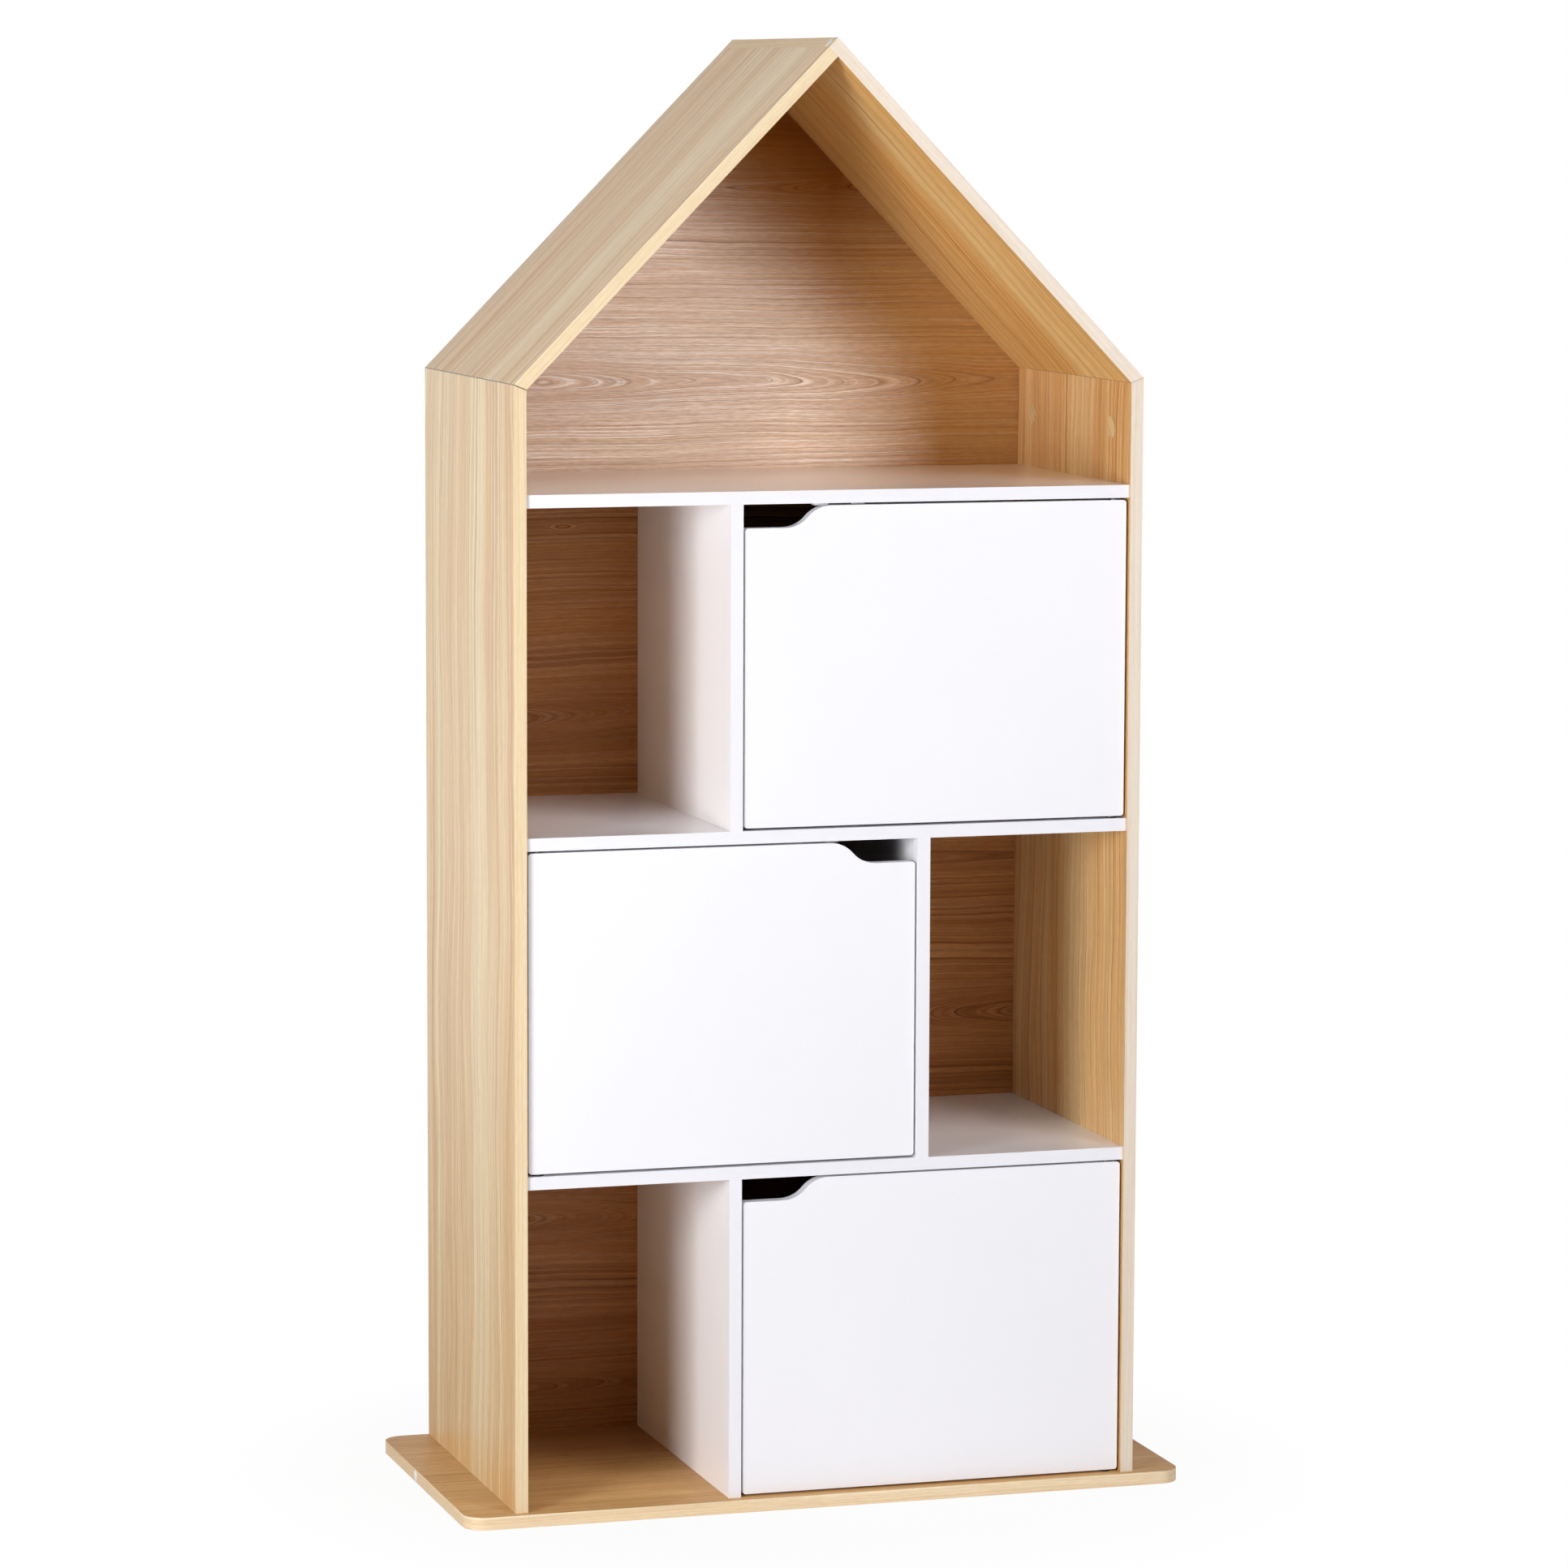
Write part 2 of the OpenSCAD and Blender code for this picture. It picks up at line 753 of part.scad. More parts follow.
module gable_back_panel() {
    color([0.80, 0.68, 0.52]) difference() {
        slab_y(y_back, y_back_rear)
            polygon([[-x_in, z_top], [x_in, z_top], in_right, lap_inner, in_left]);
        back_dowel_bores();
        roof_dowel_bores();
    }
}

module top_door() {
    color([0.96, 0.96, 0.97]) door_leaf(1, bay_top);
}

module middle_door() {
    color([0.96, 0.96, 0.97]) door_leaf(-1, bay_mid);
}

module lower_door() {
    color([0.96, 0.96, 0.97]) door_leaf(1, bay_low);
}

module pivot_bushes() {
    color([0.16, 0.16, 0.17]) {
        bush_over(pivot_x, z_top - board_t);
        bush_under(pivot_x, z_mid);
        bush_over(-pivot_x, z_mid - board_t);
        bush_under(-pivot_x, z_low);
        bush_over(pivot_x, z_low - board_t);
        bush_under(pivot_x, z_base);
    }
}

module top_door_pins() {
    color([0.55, 0.55, 0.56]) door_pins(1, bay_top);
}

module middle_door_pins() {
    color([0.55, 0.55, 0.56]) door_pins(-1, bay_mid);
}

module lower_door_pins() {
    color([0.55, 0.55, 0.56]) door_pins(1, bay_low);
}

module catch_housings() {
    color([0.93, 0.93, 0.93]) at_catches() catch_housing();
}

module catch_magnets() {
    color([0.25, 0.25, 0.26]) at_catches() catch_magnet();
}

module catch_screws() {
    color([0.6, 0.6, 0.6]) at_catches() catch_screw_pair();
}

module top_door_strike() {
    color([0.6, 0.6, 0.6]) strike_plate(1, bay_top);
}

module middle_door_strike() {
    color([0.6, 0.6, 0.6]) strike_plate(-1, bay_mid);
}

module lower_door_strike() {
    color([0.6, 0.6, 0.6]) strike_plate(1, bay_low);
}

module top_door_strike_screw() {
    color([0.6, 0.6, 0.6]) strike_screw(1, bay_top);
}

module middle_door_strike_screw() {
    color([0.6, 0.6, 0.6]) strike_screw(-1, bay_mid);
}

module lower_door_strike_screw() {
    color([0.6, 0.6, 0.6]) strike_screw(1, bay_low);
}

module cam_locks() {
    color([0.6, 0.6, 0.62]) {
        for (z = shelf_zs, s = [-1, 1], y = fit_rows) {
            translate([s * (x_in - cam_reach), y, z - board_t / 2])
                rotate([0, 0, s > 0 ? 0 : 180]) cam_lock();
        }
        for (y = fit_rows) {
            translate([-x_in, y, cam_eaves_z]) rotate([0, -90, 0]) cam_lock();
            translate([x_in, y, cam_eaves_z]) rotate([0, -90, 180]) cam_lock();
        }
        at_ridge_cams() cam_lock();
    }
}

module cam_bolts() {
    color([0.7, 0.7, 0.7]) {
        for (z = shelf_zs) at_shelf_ends(z) cam_bolt();
        at_ridge_bolts() cam_bolt();
    }
}

module eaves_bolts() {
    color([0.7, 0.7, 0.7]) {
        at_left_eaves() eaves_bolt(eaves_leg_left, tilt_left);
        at_right_eaves() eaves_bolt(eaves_leg_right, tilt_right);
    }
}

module grain_cover_caps() {
    color([0.76, 0.64, 0.48]) {
        for (y = fit_rows) {
            bore_x(-x_in, -x_in + cap_t, y, cam_eaves_z, cap_d);
            bore_x(x_in - cap_t, x_in, y, cam_eaves_z, cap_d);
        }
        at_ridge_cams() translate([0, 0, -cap_t - cap_glue]) cylinder(d = cap_d, h = cap_t);
    }
}

module white_cover_caps() {
    color([0.95, 0.95, 0.95]) {
        for (z = shelf_zs, s = [-1, 1], y = fit_rows) {
            bore_z(s * (x_in - cam_reach), y, z - board_t / 2 - cap_t, z - board_t / 2, cap_d);
        }
    }
}

module dowels() {
    color([0.86, 0.74, 0.56]) {
        for (z = shelf_zs, y = dowel_rows) {
            translate([-x_in - dowel_in, y, z]) rotate([0, 90, 0]) dowel(dowel_in + dowel_out);
            translate([x_in - dowel_out, y, z]) rotate([0, 90, 0]) dowel(dowel_in + dowel_out);
        }
        for (y = div_dowel_rows) {
            for (p = [[-divider_off, z_mid - dowel_in], [divider_off, z_low - dowel_in],
                    [-divider_off, z_top - board_t - dowel_out],
                    [divider_off, z_mid - board_t - dowel_out],
                    [-divider_off, z_low - board_t - dowel_out]]) {
                translate([p[0], y, p[1]]) dowel(dowel_in + dowel_out);
            }
        }
        for (x = back_dowel_xs) {
            translate([x, y_back + board_t / 2, z_base - dowel_in]) dowel(dowel_in + dowel_out);
            translate([x, y_back + board_t / 2, z_top - dowel_out]) dowel(2 * dowel_out);
        }
        at_roof_dowels() translate([0, 0, -dowel_out]) dowel(dowel_in + dowel_out);
    }
}

module base_screws() {
    color([0.72, 0.68, 0.55]) {
        for (y = base_screw_rows, x = [-x_out + board_t / 2, x_out - board_t / 2]) {
            translate([x, y, 0]) screw(base_screw_l);
        }
        for (y = div_screw_rows) translate([-divider_off, y, 0]) screw(base_screw_l);
    }
}

module back_screws() {
    color([0.72, 0.68, 0.55]) {
        for (z = shelf_zs, x = back_screw_xs) {
            translate([x, y_back_rear, z]) rotate([90, 0, 0]) screw(back_screw_l);
        }
    }
}

module label_dots() {
    color([0.96, 0.96, 0.96]) {
        bore_x(-base_w / 2 - dot_t, -base_w / 2, dot_base_y, dot_base_z, dot_d);
        along_left(ridge - slope_left * dot_ridge_down, dot_ridge_y)
            rotate([0, -90, 0]) translate([0, 0, dot_glue]) cylinder(d = dot_d, h = dot_t);
    }
}

base_board();
left_side_panel();
right_side_panel();
left_roof_panel();
right_roof_panel();
top_shelf();
middle_shelf();
lower_shelf();
top_divider();
middle_divider();
lower_divider();
lower_back_panel();
gable_back_panel();
top_door();
middle_door();
lower_door();
pivot_bushes();
top_door_pins();
middle_door_pins();
lower_door_pins();
catch_housings();
catch_magnets();
catch_screws();
top_door_strike();
middle_door_strike();
lower_door_strike();
top_door_strike_screw();
middle_door_strike_screw();
lower_door_strike_screw();
cam_locks();
cam_bolts();
eaves_bolts();
grain_cover_caps();
white_cover_caps();
dowels();
base_screws();
back_screws();
label_dots();
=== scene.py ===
import bpy, math
from mathutils import Matrix, Vector


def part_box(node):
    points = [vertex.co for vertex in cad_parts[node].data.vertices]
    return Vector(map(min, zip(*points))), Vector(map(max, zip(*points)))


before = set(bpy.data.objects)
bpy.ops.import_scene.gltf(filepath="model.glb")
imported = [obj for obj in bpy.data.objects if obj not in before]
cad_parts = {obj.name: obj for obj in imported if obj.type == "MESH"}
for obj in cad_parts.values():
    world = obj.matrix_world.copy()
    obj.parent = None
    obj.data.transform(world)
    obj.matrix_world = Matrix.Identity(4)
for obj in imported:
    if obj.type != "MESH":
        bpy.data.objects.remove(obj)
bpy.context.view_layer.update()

scene = bpy.context.scene

X, Y, Z = (1, 0, 0), (0, 1, 0), (0, 0, 1)
WHITE = (1, 1, 1, 1)


# ------------------------------------------------------------------ colours
def lin(color):
    """sRGB 0-255 to linear RGBA."""
    out = []
    for v in color:
        v = v / 255.0
        out.append(v / 12.92 if v <= 0.04045 else ((v + 0.055) / 1.055) ** 2.4)
    return (out[0], out[1], out[2], 1.0)


def darker(color, step):
    """Linear colour that lies step levels under an sRGB one."""
    return lin([max(0, c - step) for c in color])


# ------------------------------------------------------------- node helpers
class Tree:
    """A material whose shader nodes are made and linked in one call each."""

    def __init__(self, name):
        self.mat = bpy.data.materials.new(name)
        self.mat.use_nodes = True
        self.nt = self.mat.node_tree
        self.nt.nodes.clear()
        self.out = self.nt.nodes.new("ShaderNodeOutputMaterial")
        self.bsdf = self.nt.nodes.new("ShaderNodeBsdfPrincipled")
        self.nt.links.new(self.bsdf.outputs[0], self.out.inputs[0])

    def put(self, socket, value):
        """Link another node's output to the socket, or write a constant into it."""
        if isinstance(value, bpy.types.NodeSocket):
            self.nt.links.new(value, socket)
        else:
            socket.default_value = value

    def math(self, op, a, b=0.0, c=0.0):
        n = self.nt.nodes.new("ShaderNodeMath")
        n.operation = op
        for socket, value in zip(n.inputs, (a, b, c)):
            self.put(socket, value)
        return n.outputs[0]

    def plus(self, a, b):
        return self.math("ADD", a, b)

    def minus(self, a, b):
        return self.math("SUBTRACT", a, b)

    def times(self, a, b):
        return self.math("MULTIPLY", a, b)

    def off(self, value, place):
        """Distance of a value from a place on the same scale."""
        return self.math("ABSOLUTE", self.minus(value, place))

    def pos(self):
        n = self.nt.nodes.new("ShaderNodeTexCoord")
        return n.outputs["Object"]

    def dot(self, vec, axis):
        n = self.nt.nodes.new("ShaderNodeVectorMath")
        n.operation = "DOT_PRODUCT"
        self.put(n.inputs[0], vec)
        n.inputs[1].default_value = axis
        return n.outputs["Value"]

    def xyz(self, x, y, z=0.0):
        n = self.nt.nodes.new("ShaderNodeCombineXYZ")
        for socket, value in zip(n.inputs, (x, y, z)):
            self.put(socket, value)
        return n.outputs[0]

    def length(self, vec):
        n = self.nt.nodes.new("ShaderNodeVectorMath")
        n.operation = "LENGTH"
        self.put(n.inputs[0], vec)
        return n.outputs["Value"]

    def noise(self, vec, scale=1.0, detail=2.0, rough=0.5):
        n = self.nt.nodes.new("ShaderNodeTexNoise")
        self.put(n.inputs["Vector"], vec)
        n.inputs["Scale"].default_value = scale
        n.inputs["Detail"].default_value = detail
        n.inputs["Roughness"].default_value = rough
        return n.outputs[0]

    def ramp(self, fac, stops):
        """Grey ramp through stops of (position, level)."""
        n = self.nt.nodes.new("ShaderNodeValToRGB")
        elements = n.color_ramp.elements
        while len(elements) < len(stops):
            elements.new(0.5)
        for element, (position, level) in zip(elements, stops):
            element.position = position
            element.color = (level, level, level, 1.0)
        self.put(n.inputs[0], fac)
        return n.outputs[0]

    def span(self, value, start, end, low=0.0, high=1.0, curve="LINEAR"):
        """Carry start..end over to low..high and hold it there beyond both ends."""
        n = self.nt.nodes.new("ShaderNodeMapRange")
        n.interpolation_type = curve
        n.clamp = True
        self.put(n.inputs["Value"], value)
        n.inputs["From Min"].default_value = start
        n.inputs["From Max"].default_value = end
        n.inputs["To Min"].default_value = low
        n.inputs["To Max"].default_value = high
        return n.outputs[0]

    def mix(self, fac, a, b):
        n = self.nt.nodes.new("ShaderNodeMix")
        n.data_type = "RGBA"
        self.put(n.inputs[0], fac)
        self.put(n.inputs[6], a)
        self.put(n.inputs[7], b)
        return n.outputs[2]

    def bump(self, height, strength, distance):
        n = self.nt.nodes.new("ShaderNodeBump")
        n.inputs["Strength"].default_value = strength
        n.inputs["Distance"].default_value = distance
        self.put(n.inputs["Height"], height)
        return n.outputs[0]

    def finish(self, color, rough, normal, spec, metal=0.0):
        """Feed the shader and hand over the material."""
        self.put(self.bsdf.inputs["Base Color"], color)
        self.put(self.bsdf.inputs["Roughness"], rough)
        self.put(self.bsdf.inputs["Specular IOR Level"], spec)
        self.bsdf.inputs["Metallic"].default_value = metal
        self.put(self.bsdf.inputs["Normal"], normal)
        return self.mat


# ---------------------------------------------------------------- materials
JOINT_BROWN = (52, 36, 22)
# share of the light colour in the foil's broad bands, the halos of its rings and its white fibres
BROAD, HALO, WHITE_FIBRE = 0.55, 0.55, 0.40
# share of the dark colour in its hair lines, fibres, pores and short dashes
HAIR, FIBRE, PORE, DASH = 0.24, 0.16, 0.14, 0.14


class Foil(Tree):
    """Wood foil as printed: coordinates along and across the grain, and the growth rings."""

    NEAR_HEART = 0.12       # share of a heart's half width in which its arches are blunt
    TIP_ROUND = 0.012       # rounding of the arches' tips and of where two hearts meet, in metres

    def __init__(self, name, u, v, seed):
        super().__init__(name)
        self.seed = seed
        self.place = self.pos()
        self.along = self.dot(self.place, u)
        self.across = self.dot(self.place, v)

    def speckle(self, side, along, across, shift, detail=1.0, rough=0.5):
        """Noise with so many cells to the metre along the grain and across it."""
        at = self.xyz(self.times(self.along, along), self.times(side, across), self.seed + shift)
        return self.noise(at, 1.0, detail, rough)

    def sway(self, along, across, shift, reach, detail=1.0, rough=0.5):
        """Noise about zero with a reach in metres."""
        noise = self.speckle(self.across, along, across, shift, detail, rough)
        return self.times(self.minus(noise, 0.5), reach)

    def bend(self, wave):
        """Place across the grain once slow and quick waves bend all the growth lines together."""
        slow = self.sway(3.2, 5.5, 0.3, 0.034 * wave)
        quick = self.sway(15.0, 24.0, 4.1, 0.005 * wave, 2.0, 0.55)
        return self.plus(self.across, self.plus(slow, quick))

    def slack(self, loose, stretch):
        """How far the tips of the arches are moved along the grain."""
        slack = self.sway(7.0, 9.0, 7.7, loose, 2.0)
        for start, end, length in stretch:
            slack = self.plus(slack, self.span(self.along, start, end, 0.0, -length))
        return slack

    def ring_distance(self, bent, slack, hearts):
        """How far a point lies out from the nearest heart, counted across its rings."""
        nearest = None
        for v0, u0, taper, width, lag in hearts:
            blunt = width * self.NEAR_HEART
            depth = 2.0 * width
            du = self.length(self.xyz(self.plus(self.minus(self.along, u0), slack), self.TIP_ROUND))
            dv = self.length(self.xyz(self.minus(bent, v0), blunt))
            tip = self.math("MINIMUM", self.math("MULTIPLY_ADD", du, taper, lag), depth)
            aside = self.span(dv, blunt, width, curve="SMOOTHSTEP")
            rise = self.plus(self.times(tip, self.minus(1.0, aside)), self.times(aside, depth))
            out = self.plus(dv, rise)
            nearest = out if nearest is None else self.math("SMOOTH_MIN", nearest, out, self.TIP_ROUND)
        return nearest

    def rings(self, rad, bent, ring, tight, soft):
        """The rings' dark late wood, their pale halos, and each ring's own strength."""
        vary = self.noise(self.xyz(self.times(rad, 40.0), self.seed + 9.3), 1.0, 2.0, 0.6)
        phase = self.plus(self.math("DIVIDE", rad, ring), self.times(vary, 4.0))
        saw = self.math("FRACT", phase)
        late = self.ramp(saw, [(0.0, 0.8), (0.05 * soft, 0.12), (0.12 * soft, 0.0),
                               (1.0 - 0.34 * soft, 0.02), (1.0 - 0.12 * soft, 0.25),
                               (1.0 - 0.05 * soft, 1.0)])
        halo = self.ramp(saw, [(0.0, 0.0), (0.07, 0.55), (0.16, 1.0), (0.36, 0.15), (0.6, 0.0)])
        number = self.times(self.math("FLOOR", phase), 3.17)
        own = self.noise(self.xyz(number, self.times(self.along, 2.2), self.seed + 2.6), 1.0, 1.0)
        own = self.span(own, 0.36, 0.62, 0.18, 1.0)
        # zones where the lines are strong and zones that are nearly plain
        zone = self.span(self.speckle(bent, 0.7, 15.0, 5.2), 0.38, 0.60, 1.0 - tight, 1.0)
        return late, halo, self.times(own, zone)


def wood(name, u, v, palette, hearts, ring=0.0055, line=0.6, seed=0.0, wave=1.0, pale=(), tight=0.5,
         spec=0.5, rough=0.40, fine=1.0, ior=1.5, stretch=(), loose=0.16, joints=(), shade=(),
         coarse=1.0, soft=1.0):
    """Material of a printed wood foil. u runs along the grain and v across it.

    palette    light streak, body colour and dark line
    hearts     (place across, place along, taper, half width, lag) of each heart. The growth
               rings are nested round it, so they draw arches within the half width and straight
               lines beside it, and lag holds them back behind a neighbour's
    ring       spacing of the growth rings, in metres
    line       strength of their dark lines, and soft how wide those are
    wave       how much the rings wander, and loose how far their tips do
    pale       (place across, half width, strength) of whitish streaks
    tight      how nearly plain the calm zones are
    fine       strength of the hair lines, fibres and pores, and coarse how wide the hair lines are
    stretch    (from, to, length) of runs along the grain where the arches lie further apart
    joints     (normal, place, half width, strength) of dark hairlines where boards meet
    shade      (strength, [(axis, from, to), ...]) of painted shade: slow darkenings that stand in for shadow and also dim the shine
    """
    t = Foil(name, u, v, seed)
    bent = t.bend(wave)
    rad = t.ring_distance(bent, t.slack(loose, stretch), hearts)
    late, halo, own = t.rings(rad, bent, ring, tight, soft)
    mark = t.times(late, own)
    band = t.span(t.speckle(bent, 0.8, 30.0, 6.4, 3.0, 0.6), 0.34, 0.66)
    hair = t.span(t.speckle(rad, 1.8, 420.0 / coarse, 8.5, 2.0, 0.7), 0.50, 0.66)
    white = t.span(t.speckle(rad, 3.0, 560.0 / coarse, 12.6, 2.0, 0.6), 0.48, 0.66)
    fibre = t.speckle(bent, 14.0, 760.0, 1.9, 3.0, 0.6)
    pore = t.span(t.speckle(t.across, 70.0, 1500.0, 3.4), 0.64, 0.76)
    dash = t.span(t.speckle(t.across, 90.0, 900.0, 14.2, 2.0, 0.6), 0.36, 0.64)

    light, body, dark = (lin(c) for c in palette)
    col = t.mix(t.times(band, BROAD), body, light)
    for place, half, amount in pale:
        col = t.mix(t.span(t.off(bent, place), half * 0.35, half, amount, 0.0), col, light)
    col = t.mix(t.times(t.times(halo, own), HALO), col, light)
    col = t.mix(t.times(white, WHITE_FIBRE * fine), col, light)
    for marks, amount in ((hair, HAIR), (t.span(fibre, 0.36, 0.64), FIBRE), (pore, PORE), (dash, DASH)):
        col = t.mix(t.times(marks, amount * fine), col, dark)
    col = t.mix(t.times(mark, line), col, dark)
    for normal, place, thin, amount in joints:
        seam = t.span(t.off(t.dot(t.place, normal), place), thin * 0.5, thin, amount, 0.0)
        col = t.mix(seam, col, lin(JOINT_BROWN))

    # the foil shines more along its fine white fibres, and less in dark lines, dashes and painted shade
    sheen = t.times(t.span(white, 0.0, 1.0, spec * 0.76, spec * 1.42), t.span(mark, 0.0, 1.0, 1.0, 0.35))
    sheen = t.times(sheen, t.span(dash, 0.0, 1.0, 1.08, 0.80))
    # painted shade: each entry blends towards the dark colour along its slopes and dims the shine,
    # standing in for shadow
    for amount, slopes in shade:
        deep = amount
        for axis, start, end in slopes:
            deep = t.times(deep, t.span(t.dot(t.place, axis), start, end))
        col = t.mix(deep, col, dark)
        sheen = t.times(sheen, t.span(deep, 0.0, 0.75, 1.0, 0.0))

    relief = t.plus(t.times(fibre, 0.7), t.times(late, -0.3))
    t.bsdf.inputs["IOR"].default_value = ior
    gloss = t.span(fibre, 0.3, 0.7, rough - 0.04, rough + 0.05)
    return t.finish(col, gloss, t.bump(relief, 0.08, 0.0005), sheen)


def melamine(name, color, rough=0.36, shade=4, spec=0.35, press=0.16):
    """White melamine face: a finely pressed texture, and slow changes of tone by shade levels."""
    t = Tree(name)
    p = t.pos()
    big = t.noise(p, 3.0, 2.0)
    fine = t.noise(p, 900.0, 2.0, 0.6)
    col = t.mix(t.span(big, 0.35, 0.65), darker(color, shade), lin(color))
    col = t.mix(t.times(t.span(fine, 0.4, 0.6), 0.10), col, darker(color, 14))
    gloss = t.span(fine, 0.3, 0.7, rough - 0.05, rough + 0.06)
    return t.finish(col, gloss, t.bump(fine, press, 0.0004), spec)


def plastic(name, color, rough=0.4, grain=600.0):
    """Moulded plastic or paper with a fine grain of so many cells to the metre."""
    t = Tree(name)
    f = t.noise(t.pos(), grain, 2.0)
    col = t.mix(t.span(f, 0.35, 0.65), lin(color), darker(color, 10))
    gloss = t.span(f, 0.3, 0.7, rough - 0.05, rough + 0.08)
    return t.finish(col, gloss, t.bump(f, 0.08, 0.0003), 0.5)


def metal(name, color, rough=0.32):
    """Bare or plated metal with fine level streaks."""
    t = Tree(name)
    p = t.pos()
    cells = ((X, 400.0), (Y, 400.0), (Z, 2500.0))       # to the metre along each axis
    f = t.noise(t.xyz(*(t.times(t.dot(p, axis), count) for axis, count in cells)), 1.0, 3.0)
    col = t.mix(t.span(f, 0.3, 0.7), lin(color), darker(color, 26))
    return t.finish(col, t.span(f, 0.3, 0.7, rough, rough + 0.14), t.bump(f, 0.10, 0.0002), 0.5, 1.0)


# light streak, body colour and dark line of each foil
SIDE = [(255, 236, 190), (220, 171, 103), (122, 64, 16)]
SIDE_IN = [(255, 225, 166), (223, 162, 92), (122, 60, 16)]
ROOF = [(253, 230, 184), (225, 169, 88), (142, 80, 28)]
ROOF_IN = [(254, 224, 158), (230, 172, 86), (138, 76, 22)]
ROOF_END = [(250, 228, 192), (238, 204, 152), (190, 146, 92)]
# the lower back's foil is painted darker and browner than the others, as painted shade for the deep
# cubbies
LOWER_BACK_SHADED = [(226, 162, 96), (182, 118, 58), (112, 58, 22)]
GABLE_BACK = [(241, 195, 122), (216, 151, 60), (122, 62, 14)]
BASE = [(252, 213, 155), (224, 175, 112), (130, 76, 30)]
BASE_BAND = [(250, 234, 204), (230, 202, 162), (184, 142, 94)]
BAND_LEFT = [(238, 220, 188), (229, 206, 168), (194, 160, 112)]
BAND_RIGHT = [(238, 227, 215), (226, 212, 196), (202, 176, 146)]
BEECH = [(226, 200, 160), (214, 184, 140), (180, 140, 96)]


# ------------------------------------------------------------ dressing tools
def dress(node, materials, picker=None):
    """Give a CAD node its materials. picker names a face's slot from the face's normal."""
    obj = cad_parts[node]
    obj.data.materials.clear()
    for material in materials:
        obj.data.materials.append(material)
    if picker is not None:
        for face in obj.data.polygons:
            face.material_index = picker(face.normal)
    return obj


SHARP = math.radians(35)        # an edge that turns by more than this is softened


def bevel(obj, width=0.0005, segments=2):
    """Soften the sharp edges."""
    m = obj.modifiers.new("soft_edges", "BEVEL")
    m.width = width
    m.segments = segments
    m.limit_method = "ANGLE"
    m.angle_limit = SHARP
    m.use_clamp_overlap = False
    m.harden_normals = False


def two_faces(axis):
    """Slots of a white board: the faces across axis, and its edges."""
    a = Vector(axis)
    return lambda normal: 0 if abs(normal.dot(a)) > 0.7 else 1


def house_board_slots(outward):
    """Slots of a side or roof board: outer face, inner face, front and rear bands, ends."""
    a = Vector(outward)

    def pick(normal):
        facing = normal.dot(a)
        if abs(facing) > 0.85:
            return 0 if facing > 0 else 1
        return 2 if abs(normal.y) > 0.7 else 3

    return pick


def base_slots(normal):
    """Slots of the base board: upper and lower faces, front and rear bands, end bands."""
    if abs(normal.z) > 0.7:
        return 0
    return 2 if abs(normal.x) > 0.8 else 1


def back_slots(normal):
    """Slots of a back panel: front, edges, rear."""
    if abs(normal.y) < 0.7:
        return 1
    return 0 if normal.y < 0 else 2


# ------------------------------------------------- roof slopes and the joints
RIDGE_X = 0.003         # the ridge stands a little right of the middle
half_width = -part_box("left_side_panel")[0][0]
eaves_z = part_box("left_side_panel")[1][2]
ridge_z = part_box("right_roof_panel")[1][2]
back_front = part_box("gable_back_panel")[0][1]
left_pitch = math.atan2(ridge_z - eaves_z, half_width + RIDGE_X)
right_pitch = math.atan2(ridge_z - eaves_z, half_width - RIDGE_X)
LEFT_UP = (math.cos(left_pitch), 0, math.sin(left_pitch))
LEFT_OUT = (-math.sin(left_pitch), 0, math.cos(left_pitch))
RIGHT_UP = (-math.cos(right_pitch), 0, math.sin(right_pitch))
RIGHT_OUT = (math.sin(right_pitch), 0, math.cos(right_pitch))


def meeting(first, second, at, thin, amount):
    """Hairline of a mitre between two boards that run along first and second."""
    normal = (Vector(first) + Vector(second)).normalized()
    return (tuple(normal), normal.dot(Vector(at)), thin, amount)


EAVES_LEFT = meeting(Z, LEFT_UP, (-half_width, 0, eaves_z), 0.0007, 0.8)
EAVES_RIGHT = meeting(Z, RIGHT_UP, (half_width, 0, eaves_z), 0.0004, 0.5)
BACK_CORNER = (Y, back_front, 0.0006, 0.6)

# ------------------------------------------------------- side and roof boards
# The two sides carry the same foil: heart at the rear, wavy lines mid way. So do the two roofs.
STRAIGHT = [(0.0, 0.0, 0.004, 0.01, 0)]
BAND_LOOK = dict(hearts=STRAIGHT, ring=0.003, line=0.3, wave=0.2)
SIDE_OUTER = dict(palette=SIDE, hearts=[(0.084, 0.62, 0.045, 0.012, 0), (-0.210, 0.30, 0.02, 0.010, 0)],
                  pale=[(-0.030, 0.040, 0.6), (0.126, 0.012, 0.4)], ring=0.0105, line=0.62, wave=1.4,
                  tight=0.6, rough=0.34, ior=2.3, coarse=2.6)
SIDE_INNER = dict(SIDE_OUTER, palette=SIDE_IN, line=0.72, fine=1.1, ior=1.8, coarse=2.4)
ROOF_OUTER = dict(palette=ROOF, hearts=[(0.03, 0.62, 0.045, 0.012, 0), (-0.20, 0.3, 0.02, 0.01, 0)],
                  pale=[(-0.075, 0.045, 0.7)], ring=0.0090, line=0.70, wave=1.2,
                  tight=0.6, rough=0.36, fine=1.2, ior=1.9, coarse=2.2)
ROOF_INNER = dict(ROOF_OUTER, palette=ROOF_IN, ring=0.0105, line=0.55, wave=2.4, fine=1.3)

for node, outward, band_foil, seed, eaves in (
        ("left_side_panel", (-1, 0, 0), BAND_LEFT, 1.0, EAVES_LEFT),
        ("right_side_panel", (1, 0, 0), BAND_RIGHT, 2.0, EAVES_RIGHT)):
    outer = wood("outer_" + node, Z, Y, seed=seed, joints=[eaves], **SIDE_OUTER)
    inner = wood("inner_" + node, Z, Y, seed=seed, joints=[eaves, BACK_CORNER], **SIDE_INNER)
    band = wood("band_" + node, Z, X, band_foil, seed=seed + 3, joints=[eaves], **BAND_LOOK)
    bevel(dress(node, [outer, inner, band, band], house_board_slots(outward)))

